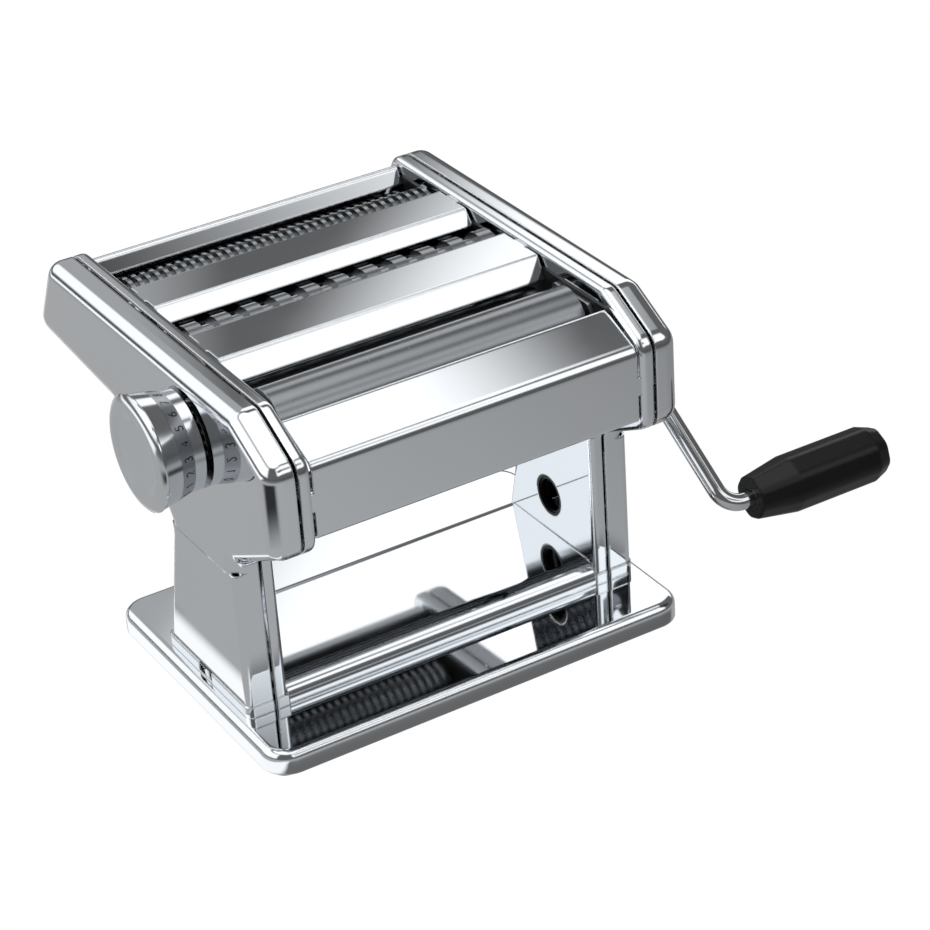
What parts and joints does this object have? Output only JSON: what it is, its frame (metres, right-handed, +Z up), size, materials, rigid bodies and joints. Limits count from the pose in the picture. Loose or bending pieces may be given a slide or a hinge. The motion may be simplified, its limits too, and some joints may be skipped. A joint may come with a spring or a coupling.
{
  "type": "pasta roller machine",
  "caption": "Hand-cranked table-top machine that rolls dough between smooth rollers set by a dial and cuts it with grooved cutting rollers.",
  "frame": {"origin": "on the table surface under the middle of the base plate", "axes": "+X along the rollers towards the crank, +Y to the back, +Z up"},
  "size_m": [0.3033, 0.2326, 0.16],
  "materials": {
    "chrome_sheet": "mirror polished",
    "roller_aluminium": "satin turned",
    "dark_plastic": "moulded black",
    "bush_plastic": "moulded natural",
    "foot_rubber": "matt black",
    "grip_plastic": "fine moulded black",
    "knob_chrome": "mirror polished",
    "dial_satin": "satin",
    "crank_chrome": "polished",
    "machined_steel": "machined"
  },
  "bodies": {
    "frame": {"base_plate": "chrome_sheet", "rubber_feet": "foot_rubber", "base_bolts": "machined_steel", "leg_bridge": "chrome_sheet", "leg_screws": "machined_steel", "left_frame": "chrome_sheet", "right_frame": "chrome_sheet", "left_cover": "chrome_sheet", "right_cover": "chrome_sheet", "left_cover_posts": "machined_steel", "right_cover_posts": "machined_steel", "left_liner": "dark_plastic", "right_liner": "dark_plastic", "front_panel": "chrome_sheet", "rear_panel": "chrome_sheet", "front_guide_bar": "chrome_sheet", "middle_guide_bar": "chrome_sheet", "tie_rods": "machined_steel", "tie_rod_nuts": "machined_steel", "roller_bushes": "bush_plastic", "cutter_bushes": "bush_plastic", "fettuccine_front_comb": "dark_plastic", "fettuccine_rear_comb": "dark_plastic", "tagliolini_front_comb": "dark_plastic", "tagliolini_rear_comb": "dark_plastic", "roller_scraper": "machined_steel", "carriage_guide_pins": "machined_steel", "knob_bush": "bush_plastic", "index_pin": "machined_steel", "crank_port_rings": "dark_plastic", "leg_hole_bush": "dark_plastic"},
    "drive_roller": {"drive_roller": "roller_aluminium", "drive_gear": "machined_steel"},
    "carriage": {"carriage_left_plate": "machined_steel", "carriage_right_plate": "machined_steel", "carriage_bar": "machined_steel", "carriage_bushes": "bush_plastic", "follower_pin": "machined_steel"},
    "driven_roller": {"driven_roller": "roller_aluminium", "driven_gear": "machined_steel"},
    "adjuster": {"gap_cam": "machined_steel", "adjuster_shaft": "machined_steel", "knob_spring": "machined_steel"},
    "knob": {"knob_shell": "knob_chrome", "dial_band": "dial_satin", "knob_cap": "knob_chrome"},
    "fettuccine_front": {"fettuccine_front_cutter": "roller_aluminium", "fettuccine_front_gear": "machined_steel"},
    "fettuccine_rear": {"fettuccine_rear_cutter": "roller_aluminium", "fettuccine_rear_gear": "machined_steel"},
    "tagliolini_front": {"tagliolini_front_cutter": "roller_aluminium", "tagliolini_front_gear": "machined_steel"},
    "tagliolini_rear": {"tagliolini_rear_cutter": "roller_aluminium", "tagliolini_rear_gear": "machined_steel"},
    "crank": {"crank_rod": "crank_chrome", "crank_pin": "crank_chrome"},
    "grip": {"crank_grip": "grip_plastic", "grip_cap": "grip_plastic"}
  },
  "joints": [
    {"name": "drive_roller_spin", "type": "hinge", "parent": "frame", "child": "drive_roller", "pos_m": [0, -0.012, 0.1314], "axis": [1, 0, 0], "continuous": true},
    {"name": "gap_slide", "type": "slide", "parent": "frame", "child": "carriage", "axis": [0, -1, 0], "range_m": [0, 0.0042]},
    {"name": "driven_roller_spin", "type": "hinge", "parent": "carriage", "child": "driven_roller", "pos_m": [0, -0.03717, 0.14198], "axis": [1, 0, 0], "continuous": true},
    {"name": "adjuster_turn", "type": "hinge", "parent": "frame", "child": "adjuster", "pos_m": [0, -0.012, 0.1314], "axis": [-1, 0, 0], "range_deg": [0, 150]},
    {"name": "knob_pull", "type": "slide", "parent": "adjuster", "child": "knob", "axis": [-1, 0, 0], "range_m": [0, 0.004], "stiffness_N_per_m": 400, "springref_m": -0.004},
    {"name": "fettuccine_spin", "type": "hinge", "parent": "frame", "child": "fettuccine_rear", "pos_m": [0, 0.04549, 0.13751], "axis": [1, 0, 0], "continuous": true},
    {"name": "fettuccine_partner_spin", "type": "hinge", "parent": "frame", "child": "fettuccine_front", "pos_m": [0, 0.0265, 0.146], "axis": [1, 0, 0], "continuous": true},
    {"name": "tagliolini_spin", "type": "hinge", "parent": "frame", "child": "tagliolini_rear", "pos_m": [0, 0.09849, 0.13751], "axis": [1, 0, 0], "continuous": true},
    {"name": "tagliolini_partner_spin", "type": "hinge", "parent": "frame", "child": "tagliolini_front", "pos_m": [0, 0.0795, 0.146], "axis": [1, 0, 0], "continuous": true},
    {"name": "crank_pull", "type": "slide", "parent": "drive_roller", "child": "crank", "axis": [1, 0, 0], "range_m": [0, 0.012]},
    {"name": "grip_spin", "type": "hinge", "parent": "crank", "child": "grip", "pos_m": [0.1085, -0.092, 0.0634], "axis": [1, 0, 0], "continuous": true}
  ],
  "couplings": [
    {"joint": "gap_slide", "follows": "adjuster_turn", "m_per_rad": 0.0016043},
    {"joint": "driven_roller_spin", "follows": "drive_roller_spin", "ratio": -1},
    {"joint": "fettuccine_partner_spin", "follows": "fettuccine_spin", "ratio": -1},
    {"joint": "tagliolini_partner_spin", "follows": "tagliolini_spin", "ratio": -1}
  ]
}
